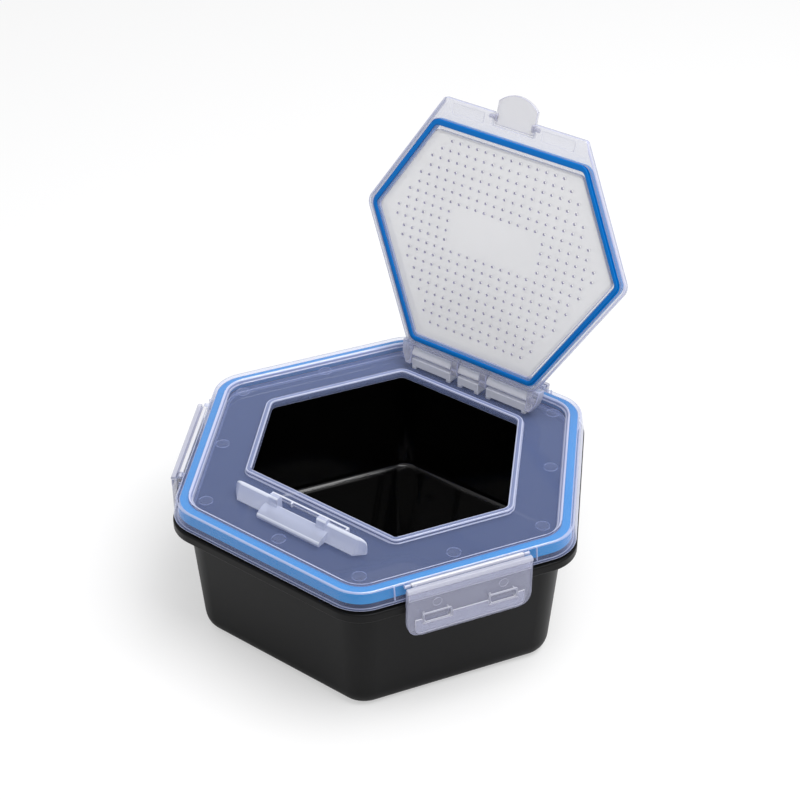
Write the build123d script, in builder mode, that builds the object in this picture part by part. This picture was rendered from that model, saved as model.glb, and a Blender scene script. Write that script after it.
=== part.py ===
from build123d import *
import math
import os

os.makedirs("parts", exist_ok=True)

# A six-sided bait box. Lengths are in millimetres, angles in degrees.
# The origin is the middle of the tub's underside, +Z is up and the front faces -Y.
# "flat" is always the distance from the middle of the box to a side, never to a corner.
# The hatch pieces are drawn closed, then swung open to the pose that they rest in.

# Directions of the latched sides' outward normals, anticlockwise from +X
latch_sides = {"latch_front_right": 330, "latch_back": 90, "latch_left": 210}

# Fits
running_gap = 0.3
pin_fit = 0.05
seat_fit = 0.05
seal_touch_gap = 0.1

# Tub
tub_floor_flat = 74.8
tub_draft = 4.45
tub_corner = 12.0
tub_wall = 2.0
tub_floor_round = 7.7
tub_height = 60.4
flange_width = 5.5
flange_overhang = 0.4
flange_thickness = 1.8
flange_lip_drop = 4.2
flange_lip_wall = 1.6
bead_width = 2.0

# Main lid
lid_gap = 1.65
lid_height = 8.45
lid_lean = 1.4
lid_corner = 17.5
skirt_wall = 1.6
rim_plate = 1.1
rim_round = 1.0
rim_width = 5.8
rim_slope = 0.9
deck_sink = 1.8
deck_width = 21.4
deck_thickness = 2.0
plug_step = 1.2
plug_wall = 1.7
plug_depth = 3.2
main_seal_height = 3.9
opening_front_step = 11.5
opening_corner = 3.5
opening_front_corner = 1.2
opening_lip_wall = 2.5
opening_lip_corner = 6.0

# Hatch hinge: a rod on the hatch that snaps into three clips on the lid
hinge_behind_opening = 9.5
hinge_above_deck = 6.5
hatch_open = 104.7
rod_radius = 1.2
clip_radius = 3.0
clip_mouth = 1.9
clip_foot_height = 1.4
clip_foot_length = 2.2
middle_clip_half = 5.7
side_clip_length = 21.5
inner_arm_width = 3.7
outer_arm_width = 5.8
outer_arm_taper = 3.3
outer_arm_heel = 4.65

# Hatch frame, vent panel and seal, as they lie when the hatch is closed
hatch_lift = 0.8
hatch_overlap = 4.5
hatch_thickness = 3.0
hatch_corner = 6.0
bar_behind_opening = 6.0
bar_width = 6.6
bar_corner = 2.0
pad_depth = 0.6
pad_margin = 4.1
pad_length = 17.0
pad_rear_edge = 0.6
pad_width = 2.7
panel_inset = 2.0
panel_front_inset = 2.5
panel_corner = 2.5
panel_thickness = 1.6
panel_recess = 0.6
panel_ledge = 1.5
hatch_seal_outset = 2.0
hatch_seal_width = 2.3
hatch_seal_corner = 5.0
hatch_seal_groove = 1.0

# Vent holes
hole_width = 1.9
hole_sides = 6
hole_pitch_x = 4.5
hole_pitch_y = 4.44
hole_front_margin = 3.4
hole_columns_each_side = (7, 8, 9, 9, 10, 10, 11, 11, 12, 12, 11, 11, 10, 10, 9, 9, 8, 7, 7, 6)
blank_rows = (7, 8, 9, 10)
blank_columns_each_side = 5

# Lock lever, the finger tab
lever_half_width = 10.1
lever_side_gap = 2.3
lever_thickness = 1.6
lever_lift = 1.9
lever_straight = 10.7
lever_tip_height = 4.3
lever_rear_gap = 0.9
lever_pivot_from_rear = 3.4
lever_pivot_radius = 0.9
lever_pivot_length = 1.6
lever_hub_radius = 1.4
hook_width = 1.5
hook_drop = 1.6

# Hatch catch on the deck, and the low ridge behind it
ridge_half = 20.5
ridge_width = 0.8
ridge_behind_bar = 0.9
catch_gap = 0.9
wing_half = 34.8
wing_tip_cut = 4.0
wing_height = 6.6
wing_top_width = 1.5
wing_depth = 5.0
knuckle_gap = 0.4
knuckle_width = 4.7
knuckle_height = 8.3
knuckle_shoulder_height = 6.3
knuckle_shoulder_depth = 3.0
block_half = 16.5
block_depth = 9.0
block_toe = 0.6
saddle_depth = 1.5
saddle_clearance = 0.6

# Side latches
flap_clearance = 1.5
flap_thickness = 2.0
latch_half = 27.5
latch_barrel_radius = 0.9
latch_barrel_gap = 0.4
latch_ear_width = 2.6
latch_trunnion_radius = 0.5
latch_shoulder_drop = 1.5
latch_web_thickness = 1.8
flap_tail = 7.0
flap_corner = 7.0
flap_ridge_drops = (4.0, 7.0)
flap_ridge_height = 0.5
flap_ridge_width = 0.8
flap_band_inset = 3.0
flap_band_bottom = 1.1
flap_band_width = 4.6
flap_band_height = 0.5
lug_inner = 9.2
lug_length = 10.8
lug_thickness = 3.0
lug_drop = 3.7
lug_setback = 0.1
lug_web = 1.6
slot_margin = 0.4


def tub_growth(height):
    """How far the draft has moved the tub's wall outwards at a height."""
    return height * math.tan(math.radians(tub_draft))


def tub_wall_flat(height):
    """The distance to the tub's outer wall at a height."""
    return tub_floor_flat + tub_growth(height)


# The lid stands on the tub's flange
lid_flat = tub_wall_flat(tub_height) + flange_width
flange_flat = lid_flat + flange_overhang
lip_bottom = tub_height - flange_lip_drop
lid_bottom = tub_height + lid_gap
lid_top = lid_bottom + lid_height
lid_top_flat = lid_flat - lid_lean
lid_taper = math.degrees(math.atan(lid_lean / lid_height))
rim_underside = lid_top - rim_plate
rim_inner_flat = lid_top_flat - rim_width
deck_top = lid_top - deck_sink
deck_underside = deck_top - deck_thickness
deck_inner_flat = rim_inner_flat - rim_slope
plug_outer_flat = deck_inner_flat + plug_step
plug_bottom = deck_underside - plug_depth
bead_top = rim_underside - main_seal_height
opening_flat = deck_inner_flat - deck_width
opening_front = opening_flat - opening_front_step

# The hatch lies on the lip of the opening
hinge_y = opening_flat + hinge_behind_opening
hinge_z = deck_top + hinge_above_deck
inner_arm_start = middle_clip_half + running_gap
side_clip_start = inner_arm_start + inner_arm_width + running_gap
side_clip_end = side_clip_start + side_clip_length
outer_arm_start = side_clip_end + running_gap
hatch_underside = lid_top + hatch_lift
hatch_top = hatch_underside + hatch_thickness
hatch_flat = opening_flat + hatch_overlap
bar_rear = opening_front + bar_behind_opening
hatch_front = bar_rear + bar_width
panel_flat = opening_flat - panel_inset
panel_front = opening_front - panel_front_inset
panel_bottom = hatch_underside + panel_recess
panel_top = panel_bottom + panel_thickness
seal_outer_flat = opening_flat + hatch_seal_outset
seal_outer_front = opening_front + hatch_seal_outset
seal_inner_flat = seal_outer_flat - hatch_seal_width
seal_inner_front = seal_outer_front - hatch_seal_width
seal_inner_corner = hatch_seal_corner - hatch_seal_width

# The lever hangs in a notch of the hatch's front bar
notch_half = lever_half_width + lever_side_gap
lever_underside = hatch_underside + lever_lift
lever_rear = bar_rear + lever_rear_gap
lever_straight_end = lever_rear + lever_straight
lever_tip = lever_straight_end + lever_tip_height
lever_pivot_y = lever_rear + lever_pivot_from_rear
lever_pivot_z = hatch_underside + hatch_thickness / 2
lever_pivot_half = notch_half + lever_pivot_length

# The catch stands just in front of the closed hatch
catch_rear = hatch_front + catch_gap
knuckle_rear = hatch_front + knuckle_gap
block_front = catch_rear + block_depth
saddle_y = catch_rear + saddle_depth
saddle_z = lever_underside - saddle_clearance
hook_rear = hatch_front + knuckle_gap

# The latches hang from the lid's rim and hook over the tub's lugs
flap_inner_flat = lid_flat + flap_clearance
flap_outer_flat = flap_inner_flat + flap_thickness
latch_axis_z = lid_top - latch_barrel_radius
latch_axis_flat = lid_top_flat + latch_barrel_radius + latch_barrel_gap
latch_barrel_half = latch_half - latch_ear_width - running_gap
latch_shoulder = lid_top - latch_shoulder_drop
lug_bottom = lip_bottom - lug_drop
lug_top = lug_bottom + lug_thickness
lug_middle = lug_inner + lug_length / 2
lug_reach_flat = flap_outer_flat - lug_setback
flap_bottom = lug_bottom - flap_tail


def skirt_flat(height):
    """The distance to the outside of the lid's skirt at a height."""
    return lid_flat - (height - lid_bottom) * math.tan(math.radians(lid_taper))


def rounded_hexagon(flat, corner, mode=Mode.ADD):
    """Adds to the open sketch a hexagon that has a side at the front, with rounded corners."""
    hexagon = RegularPolygon(flat, 6, major_radius=False, mode=Mode.PRIVATE)
    add(hexagon.face().fillet_2d(corner, hexagon.vertices()), mode=mode)


def cut_hexagon(flat, front, corner, front_corner, mode=Mode.ADD):
    """Adds to the open sketch a hexagon whose front corners are cut straight across at y = -front."""
    sine, cosine = math.sin(math.radians(30)), math.cos(math.radians(30))
    half_front = (flat - front * sine) / cosine
    half_back = flat * sine / cosine
    half_middle = flat / cosine
    right = [(half_front, -front), (half_middle, 0), (half_back, flat)]
    left = [(-x, y) for x, y in reversed(right)]
    shape = Polygon(*right, *left, align=None, mode=Mode.PRIVATE)
    front_points, *other_points = shape.vertices().group_by(Axis.Y)
    face = shape.face().fillet_2d(corner, [point for row in other_points for point in row])
    face = face.fillet_2d(front_corner, face.vertices().group_by(Axis.Y)[0])
    add(face, mode=mode)


def side_section(side):
    """The upright plane through the middle of a side: its x runs outwards and its y runs up."""
    angle = math.radians(side)
    return Plane(
        origin=(0, 0, 0),
        x_dir=(math.cos(angle), math.sin(angle), 0),
        z_dir=(math.sin(angle), -math.cos(angle), 0),
    )


def side_face(side, flat):
    """The upright plane that faces outwards on a side, at a distance: its y runs up."""
    angle = math.radians(side)
    outwards = Vector(math.cos(angle), math.sin(angle), 0)
    return Plane(origin=outwards * flat, x_dir=(-math.sin(angle), math.cos(angle), 0), z_dir=outwards)


def swing_open(shape):
    """Turns a piece of the closed hatch about the hinge to the pose that the hatch rests in."""
    return shape.rotate(Axis((0, hinge_y, hinge_z), (1, 0, 0)), -hatch_open)


# Hollow of the tub: the same drafted form as the outside, one wall smaller all round.
with BuildPart() as tub_hollow:
    with BuildSketch(Plane.XY.offset(tub_wall)):
        rounded_hexagon(tub_wall_flat(tub_wall) - tub_wall, tub_corner - tub_wall)
    extrude(amount=lid_top - tub_wall, taper=-tub_draft)
    fillet(tub_hollow.faces().sort_by(Axis.Z)[0].edges(), tub_floor_round - tub_wall)

# Tub: a drafted shell with a round floor edge, a flange with a turned-down lip, the bead that
# presses into the main seal, and a pair of lugs for each latch.
with BuildPart() as tub:
    with BuildSketch():
        rounded_hexagon(tub_floor_flat, tub_corner)
    extrude(amount=tub_height, taper=-tub_draft)
    fillet(tub.faces().sort_by(Axis.Z)[0].edges(), tub_floor_round)
    add(tub_hollow.part, mode=Mode.SUBTRACT)

    middle_of_wall = tub_growth(tub_height) - tub_wall / 2
    with BuildSketch(Plane.XY.offset(tub_height - flange_thickness)):
        rounded_hexagon(flange_flat, lid_corner)
        rounded_hexagon(tub_floor_flat + middle_of_wall, tub_corner + middle_of_wall, mode=Mode.SUBTRACT)
    extrude(amount=flange_thickness)
    with BuildSketch(Plane.XY.offset(lip_bottom)):
        rounded_hexagon(flange_flat, lid_corner)
        rounded_hexagon(flange_flat - flange_lip_wall, lid_corner - flange_lip_wall, mode=Mode.SUBTRACT)
    extrude(amount=flange_lip_drop - flange_thickness / 2)
    bead_outer_flat = skirt_flat(bead_top) - skirt_wall - running_gap
    bead_corner = lid_corner - skirt_wall
    with BuildSketch(Plane.XY.offset(tub_height - flange_thickness / 2)):
        rounded_hexagon(bead_outer_flat, bead_corner)
        rounded_hexagon(bead_outer_flat - bead_width, bead_corner - bead_width, mode=Mode.SUBTRACT)
    extrude(amount=bead_top - tub_height + flange_thickness / 2)

    lip_back = flange_flat - flange_lip_wall
    lug_root = tub_height - flange_thickness / 2
    web_foot = tub_wall_flat(lug_bottom) - tub_wall / 2
    web_head = tub_wall_flat(lug_root) - tub_wall / 2
    inner_web = lug_inner + lug_web / 2
    outer_web = lug_inner + lug_length - lug_web / 2
    for side in latch_sides.values():
        for middle in (-lug_middle, lug_middle):
            with BuildSketch(side_section(side).offset(middle)):
                Polygon(
                    (lip_back, lug_bottom), (lug_reach_flat, lug_bottom), (lug_reach_flat, lug_top),
                    (flange_flat, lug_top), (flange_flat, lug_root), (lip_back, lug_root), align=None,
                )
            extrude(amount=lug_length / 2, both=True)
        for web_middle in (-outer_web, -inner_web, inner_web, outer_web):
            with BuildSketch(side_section(side).offset(web_middle)):
                Polygon(
                    (web_foot, lug_bottom), (lip_back, lug_bottom), (lip_back, lug_root),
                    (web_head, lug_root), align=None,
                )
            extrude(amount=lug_web / 2, both=True)
tub.part.label = "tub"
export_step(tub.part, "parts/tub.step")

# Main lid: a drafted skirt under a rounded rim, a plug wall that closes the seal channel, a sunken
# deck with a lipped opening, the hinge clips, the latch ears and the low ridge behind the catch.
with BuildPart() as main_lid:
    with BuildSketch(Plane.XY.offset(lid_bottom)):
        rounded_hexagon(lid_flat, lid_corner)
    extrude(amount=lid_height, taper=lid_taper)
    fillet(main_lid.faces().sort_by(Axis.Z)[-1].edges(), rim_round)
    with BuildSketch(Plane.XY.offset(lid_bottom)):
        rounded_hexagon(lid_flat - skirt_wall, lid_corner - skirt_wall)
    extrude(amount=rim_underside - lid_bottom, taper=lid_taper, mode=Mode.SUBTRACT)
    with BuildSketch(Plane.XY.offset(plug_bottom)):
        rounded_hexagon(plug_outer_flat, tub_corner)
        rounded_hexagon(plug_outer_flat - plug_wall, tub_corner - plug_wall, mode=Mode.SUBTRACT)
    extrude(amount=rim_underside + rim_plate / 2 - plug_bottom)
    with BuildSketch(Plane.XY.offset(deck_underside)):
        rounded_hexagon(plug_outer_flat, tub_corner)
    extrude(amount=deck_thickness)
    with BuildSketch(Plane.XY.offset(deck_top)):
        rounded_hexagon(deck_inner_flat, tub_corner - plug_wall)
    rim_lean = math.degrees(math.atan(rim_slope / deck_sink))
    extrude(amount=deck_sink, taper=-rim_lean, mode=Mode.SUBTRACT)

    with BuildSketch(Plane.XY.offset(deck_underside)):
        cut_hexagon(
            opening_flat + opening_lip_wall, opening_front + opening_lip_wall,
            opening_lip_corner, opening_front_corner + opening_lip_wall,
        )
    extrude(amount=deck_thickness + deck_sink)
    with BuildSketch(Plane.XY.offset(deck_underside)):
        cut_hexagon(opening_flat, opening_front, opening_corner, opening_front_corner)
    extrude(amount=deck_thickness + deck_sink, mode=Mode.SUBTRACT)

    with BuildSketch(Plane.XY.offset(deck_top)):
        with Locations((0, -bar_rear - ridge_behind_bar - ridge_width / 2)):
            Rectangle(2 * ridge_half, ridge_width)
    extrude(amount=hatch_underside - running_gap - deck_top)

    side_clip_middle = (side_clip_start + side_clip_end) / 2
    side_clip_half = side_clip_length / 2
    clip_foot_top = deck_top + clip_foot_height
    clips = ((0, middle_clip_half), (-side_clip_middle, side_clip_half), (side_clip_middle, side_clip_half))
    for middle, half in clips:
        with BuildSketch(Plane.YZ.offset(middle)):
            with Locations((hinge_y, hinge_z)):
                Circle(clip_radius)
            with Locations((hinge_y, (clip_foot_top + hinge_z) / 2)):
                Rectangle(2 * clip_radius, hinge_z - clip_foot_top)
        extrude(amount=half, both=True)
        with BuildSketch(Plane.XY.offset(deck_top)):
            for end in (-1, 1):
                with Locations((middle + end * (half - clip_foot_length / 2), hinge_y)):
                    Rectangle(clip_foot_length, 2 * clip_radius)
        extrude(amount=clip_foot_height)
    with BuildSketch(Plane.YZ):
        with Locations((hinge_y, hinge_z)):
            Circle(rod_radius + pin_fit)
        with Locations((hinge_y - clip_radius, hinge_z)):
            Rectangle(2 * clip_radius, clip_mouth)
    extrude(amount=side_clip_end, both=True, mode=Mode.SUBTRACT)

    ear_middle = latch_half - latch_ear_width / 2
    ear_root = lid_top_flat - skirt_wall / 3
    for side in latch_sides.values():
        for middle in (-ear_middle, ear_middle):
            with BuildSketch(side_section(side).offset(middle)):
                with Locations((latch_axis_flat, latch_axis_z)):
                    Circle(latch_barrel_radius)
                with Locations(((ear_root + latch_axis_flat) / 2, latch_axis_z)):
                    Rectangle(latch_axis_flat - ear_root, 2 * latch_barrel_radius)
                with Locations((latch_axis_flat, latch_axis_z)):
                    Circle(latch_trunnion_radius + pin_fit, mode=Mode.SUBTRACT)
            extrude(amount=latch_ear_width / 2, both=True)
main_lid.part.label = "main_lid"
export_step(main_lid.part, "parts/main_lid.step")

# Main seal: the ring that fills the channel between the plug wall and the skirt, on the tub's bead.
with BuildPart() as main_seal:
    with BuildSketch(Plane.XY.offset(bead_top)):
        rounded_hexagon(skirt_flat(rim_underside) - skirt_wall - seat_fit, lid_corner - skirt_wall)
        rounded_hexagon(plug_outer_flat + seat_fit, tub_corner, mode=Mode.SUBTRACT)
    extrude(amount=main_seal_height)
main_seal.part.label = "main_seal"
export_step(main_seal.part, "parts/main_seal.step")


def build_latch(side):
    """Builds the snap latch of one side: a barrel with trunnions, a shoulder, and a slotted flap."""
    with BuildPart() as latch:
        with BuildSketch(side_face(side, flap_inner_flat)):
            with Locations((0, (flap_bottom + latch_shoulder) / 2)):
                Rectangle(2 * latch_half, latch_shoulder - flap_bottom)
        extrude(amount=flap_thickness)
        outwards = Axis((0, 0, 0), side_face(side, 0).z_dir)
        fillet(latch.edges().filter_by(outwards).group_by(Axis.Z)[0], flap_corner)
        with BuildSketch(side_section(side)):
            Polygon(
                (latch_axis_flat, latch_axis_z + latch_barrel_radius), (flap_outer_flat, latch_shoulder),
                (flap_outer_flat, latch_shoulder - latch_web_thickness),
                (flap_inner_flat, latch_shoulder - latch_web_thickness),
                (latch_axis_flat, latch_axis_z - latch_barrel_radius), align=None,
            )
            with Locations((latch_axis_flat, latch_axis_z)):
                Circle(latch_barrel_radius)
        extrude(amount=latch_barrel_half, both=True)
        with BuildSketch(side_section(side)):
            with Locations((latch_axis_flat, latch_axis_z)):
                Circle(latch_trunnion_radius)
        extrude(amount=latch_half, both=True)
        with BuildSketch(side_face(side, flap_outer_flat)):
            for drop in flap_ridge_drops:
                with Locations((0, lid_top - drop)):
                    Rectangle(2 * latch_barrel_half, flap_ridge_width)
        extrude(amount=flap_ridge_height)
        with BuildSketch(side_face(side, flap_outer_flat)):
            with Locations((0, flap_bottom + flap_band_bottom + flap_band_width / 2)):
                RectangleRounded(2 * (latch_half - flap_band_inset), flap_band_width, flap_ridge_width)
        extrude(amount=flap_band_height)
        with BuildSketch(side_face(side, flap_inner_flat)):
            for middle in (-lug_middle, lug_middle):
                with Locations((middle, (lug_bottom + lug_top) / 2)):
                    Rectangle(lug_length + 2 * slot_margin, lug_thickness + 2 * slot_margin)
        extrude(amount=flap_thickness, mode=Mode.SUBTRACT)
    return latch.part


for latch_name, latch_side in latch_sides.items():
    latch_part = build_latch(latch_side)
    latch_part.label = latch_name
    export_step(latch_part, f"parts/{latch_name}.step")

# Hatch frame: the rim that holds the vent panel and the seal, a front bar with a notch for the
# lever, and at the back the arms and the rod that turn in the lid's clips.
with BuildPart() as hatch_frame:
    with BuildSketch(Plane.XY.offset(hatch_underside)):
        cut_hexagon(hatch_flat, hatch_front, hatch_corner, bar_corner)
    extrude(amount=hatch_thickness)
    with BuildSketch(Plane.XY.offset(hatch_underside)):
        cut_hexagon(panel_flat + seat_fit, panel_front + seat_fit, panel_corner, panel_corner)
    extrude(amount=panel_top - hatch_underside, mode=Mode.SUBTRACT)
    with BuildSketch(Plane.XY.offset(hatch_underside)):
        cut_hexagon(panel_flat - panel_ledge, panel_front - panel_ledge, panel_corner, panel_corner)
    extrude(amount=hatch_thickness, mode=Mode.SUBTRACT)
    with BuildSketch(Plane.XY.offset(hatch_underside)):
        cut_hexagon(
            seal_outer_flat + seat_fit, seal_outer_front + seat_fit,
            hatch_seal_corner, hatch_seal_corner,
        )
        cut_hexagon(
            seal_inner_flat - seat_fit, seal_inner_front - seat_fit,
            seal_inner_corner, seal_inner_corner, mode=Mode.SUBTRACT,
        )
    extrude(amount=hatch_seal_groove, mode=Mode.SUBTRACT)

    with BuildSketch(Plane.XY.offset(hatch_underside)):
        with Locations((0, -(bar_rear + hatch_front) / 2)):
            Rectangle(2 * notch_half, hatch_front - bar_rear)
    extrude(amount=hatch_thickness, mode=Mode.SUBTRACT)
    with BuildSketch(Plane.XY.offset(hatch_underside)):
        pad_middle_x = notch_half + pad_margin + pad_length / 2
        pad_middle_y = -bar_rear - pad_rear_edge - pad_width / 2
        with Locations((-pad_middle_x, pad_middle_y), (pad_middle_x, pad_middle_y)):
            Rectangle(pad_length, pad_width)
    extrude(amount=pad_depth, mode=Mode.SUBTRACT)
    with BuildSketch(Plane.YZ):
        with Locations((-lever_pivot_y, lever_pivot_z)):
            Circle(lever_pivot_radius + pin_fit)
    extrude(amount=lever_pivot_half, both=True, mode=Mode.SUBTRACT)

    arm_root = hatch_flat - hatch_thickness / 2
    inner_arm_middle = inner_arm_start + inner_arm_width / 2
    for middle in (-inner_arm_middle, inner_arm_middle):
        with BuildSketch(Plane.YZ.offset(middle)):
            with Locations((hinge_y, hinge_z)):
                Circle(clip_radius)
            Polygon(
                (arm_root, hatch_underside), (hinge_y - clip_radius, hatch_underside),
                (hinge_y, hinge_z - clip_radius), (hinge_y, hinge_z), (hinge_y - clip_radius, hinge_z),
                (arm_root, hatch_top), align=None,
            )
        extrude(amount=inner_arm_width / 2, both=True)
    outer_arm_end = outer_arm_start + outer_arm_width
    heel_end = hinge_y + outer_arm_heel
    with BuildSketch(Plane.XY.offset(panel_bottom)):
        for direction in (-1, 1):
            Polygon(
                (direction * outer_arm_start, arm_root), (direction * outer_arm_end, arm_root),
                (direction * outer_arm_end, hinge_y - outer_arm_heel),
                (direction * (outer_arm_end - outer_arm_taper), heel_end),
                (direction * outer_arm_start, heel_end), align=None,
            )
    extrude(amount=hinge_z + rod_radius - panel_bottom)
    with BuildSketch(Plane.YZ):
        with Locations((hinge_y, hinge_z)):
            Circle(rod_radius)
    extrude(amount=outer_arm_start + outer_arm_width / 2, both=True)
hatch_frame.part = swing_open(hatch_frame.part)
hatch_frame.part.label = "hatch_frame"
export_step(hatch_frame.part, "parts/hatch_frame.step")

# Vent panel: the thin plate in the frame, with rows of small holes round a plain patch in its
# middle. Every row has its own number of holes, so that the rows follow the hexagon's sides.
with BuildPart() as vent_panel:
    with BuildSketch(Plane.XY.offset(panel_bottom)):
        cut_hexagon(panel_flat, panel_front, panel_corner, panel_corner)
        hole_centres = []
        for row, columns in enumerate(hole_columns_each_side):
            first = blank_columns_each_side if row in blank_rows else 0
            for column in range(first, columns):
                x = (column + 0.5) * hole_pitch_x
                y = row * hole_pitch_y + hole_front_margin - panel_front
                hole_centres += [(-x, y), (x, y)]
        with Locations(hole_centres):
            RegularPolygon(hole_width / 2, hole_sides, major_radius=False, mode=Mode.SUBTRACT)
    extrude(amount=panel_thickness)
vent_panel.part = swing_open(vent_panel.part)
vent_panel.part.label = "vent_panel"
export_step(vent_panel.part, "parts/vent_panel.step")

# Hatch seal: the ring in the frame's groove that closes on the lip of the opening.
with BuildPart() as hatch_seal:
    seal_bottom = lid_top + seal_touch_gap
    with BuildSketch(Plane.XY.offset(seal_bottom)):
        cut_hexagon(seal_outer_flat, seal_outer_front, hatch_seal_corner, hatch_seal_corner)
        cut_hexagon(
            seal_inner_flat, seal_inner_front, seal_inner_corner, seal_inner_corner, mode=Mode.SUBTRACT,
        )
    extrude(amount=hatch_underside + hatch_seal_groove - seal_bottom)
hatch_seal.part = swing_open(hatch_seal.part)
hatch_seal.part.label = "hatch_seal"
export_step(hatch_seal.part, "parts/hatch_seal.step")

# Lock lever: a tab with a round finger end, pivots at its sides and a hook rib underneath.
with BuildPart() as lock_lever:
    with BuildSketch(Plane.XY.offset(lever_underside)):
        with BuildLine():
            Polyline(
                (lever_half_width, -lever_straight_end), (lever_half_width, -lever_rear),
                (-lever_half_width, -lever_rear), (-lever_half_width, -lever_straight_end),
            )
            ThreePointArc(
                (-lever_half_width, -lever_straight_end), (0, -lever_tip),
                (lever_half_width, -lever_straight_end),
            )
        make_face()
    extrude(amount=lever_thickness)
    with BuildSketch(Plane.YZ):
        with Locations((-lever_pivot_y, lever_pivot_z)):
            Circle(lever_hub_radius)
        hook_top = lever_underside + lever_thickness / 2
        with Locations((-hook_rear - hook_width / 2, (hook_top + lever_underside - hook_drop) / 2)):
            Rectangle(hook_width, hook_top - lever_underside + hook_drop)
    extrude(amount=lever_half_width, both=True)
    with BuildSketch(Plane.YZ):
        with Locations((-lever_pivot_y, lever_pivot_z)):
            Circle(lever_pivot_radius)
    extrude(amount=lever_pivot_half - running_gap, both=True)
lock_lever.part = swing_open(lock_lever.part)
lock_lever.part.label = "lock_lever"
export_step(lock_lever.part, "parts/lock_lever.step")

# Hatch catch: sloping wings, two round-topped knuckles that the lever swings down between, and a
# low block between them that leaves room for a finger under the tab.
with BuildPart() as hatch_catch:
    wing_front = catch_rear + wing_depth
    with BuildSketch(Plane.YZ):
        Polygon(
            (-catch_rear, deck_top), (-catch_rear, deck_top + wing_height),
            (-catch_rear - wing_top_width, deck_top + wing_height),
            (-wing_front, deck_top + block_toe), (-wing_front, deck_top), align=None,
        )
    extrude(amount=wing_half, both=True)
    with BuildSketch(Plane.XY.offset(deck_top)):
        for direction in (-1, 1):
            Polygon(
                (direction * (wing_half - wing_tip_cut), -wing_front),
                (direction * wing_half, -wing_front),
                (direction * wing_half, -catch_rear - wing_top_width), align=None,
            )
    extrude(amount=wing_height, mode=Mode.SUBTRACT)
    knuckle_start = lever_half_width + running_gap
    with BuildSketch(Plane.XY.offset(deck_top)):
        with Locations((0, -catch_rear)):
            Rectangle(2 * knuckle_start, 2 * block_depth)
    extrude(amount=knuckle_height, mode=Mode.SUBTRACT)
    with BuildSketch(Plane.YZ):
        Polygon(
            (-saddle_y, deck_top), (-saddle_y, saddle_z), (-block_front, deck_top + block_toe),
            (-block_front, deck_top), align=None,
        )
    extrude(amount=block_half, both=True)
    knuckle_middle = knuckle_start + knuckle_width / 2
    for middle in (-knuckle_middle, knuckle_middle):
        with BuildSketch(Plane.YZ.offset(middle)):
            Polygon(
                (-knuckle_rear, deck_top), (-knuckle_rear, deck_top + knuckle_height),
                (-knuckle_rear - wing_top_width, deck_top + knuckle_height),
                (-knuckle_rear - knuckle_shoulder_depth, deck_top + knuckle_shoulder_height),
                (-block_front, deck_top + block_toe), (-block_front, deck_top), align=None,
            )
        extrude(amount=knuckle_width / 2, both=True)
hatch_catch.part.label = "hatch_catch"
export_step(hatch_catch.part, "parts/hatch_catch.step")
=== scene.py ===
import math

import bpy
import bmesh
import numpy as np
from mathutils import Matrix
from mathutils.geometry import delaunay_2d_cdt


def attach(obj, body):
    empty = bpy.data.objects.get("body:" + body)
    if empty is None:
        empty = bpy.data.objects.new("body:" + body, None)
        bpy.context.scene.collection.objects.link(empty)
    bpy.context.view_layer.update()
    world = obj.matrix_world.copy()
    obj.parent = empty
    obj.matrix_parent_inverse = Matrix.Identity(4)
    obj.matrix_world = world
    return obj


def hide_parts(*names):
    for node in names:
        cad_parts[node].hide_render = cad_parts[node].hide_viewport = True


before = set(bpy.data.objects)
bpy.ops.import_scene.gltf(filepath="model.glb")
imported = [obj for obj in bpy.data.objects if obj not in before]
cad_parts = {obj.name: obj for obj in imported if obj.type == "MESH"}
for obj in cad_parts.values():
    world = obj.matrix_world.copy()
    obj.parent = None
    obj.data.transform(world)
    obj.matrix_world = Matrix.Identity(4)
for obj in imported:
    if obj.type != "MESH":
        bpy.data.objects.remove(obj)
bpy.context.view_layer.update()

# TUB
# A black polypropylene moulding with drafted sides, a round floor edge, a flange with a turned-down
# lip and a sealing bead. Its outside is satin and its inside is polished by the mould's core.
# Sizes are in millimetres from here on, and make_piece turns them into metres.
MM = 0.001


def soften(rows, cuts, closed=False, steps=4):
    """Rounds the corners of a line of points. Each point gives way to a short curve that starts and
    ends at its cut's distance along the two lines that meet there, bent towards the point itself.
    A cut takes a little less than half of a line, so that two cuts never meet."""
    rows = np.asarray(rows, float)
    cuts = np.asarray(cuts, float)[:, None]
    before, after = np.roll(rows, 1, 0), np.roll(rows, -1, 0)
    if not closed:
        before[0], after[-1] = rows[0], rows[-1]
    ends = []
    for neighbours in (before, after):
        reach = np.linalg.norm((neighbours - rows)[:, :2], axis=1, keepdims=True)
        share = np.minimum(cuts / np.maximum(reach, 1e-9), 0.49)
        ends.append((rows + (neighbours - rows) * share)[:, None])
    start, end = ends
    s = np.linspace(0, 1, steps + 1)[None, :, None]
    curve = (1 - s) ** 2 * start + 2 * s * (1 - s) * rows[:, None] + s ** 2 * end
    out = curve.reshape(-1, rows.shape[1])
    keep = np.linalg.norm(np.diff(out, axis=0, prepend=out[:1] - 1), axis=1) > 1e-6
    return out[keep]


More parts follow.
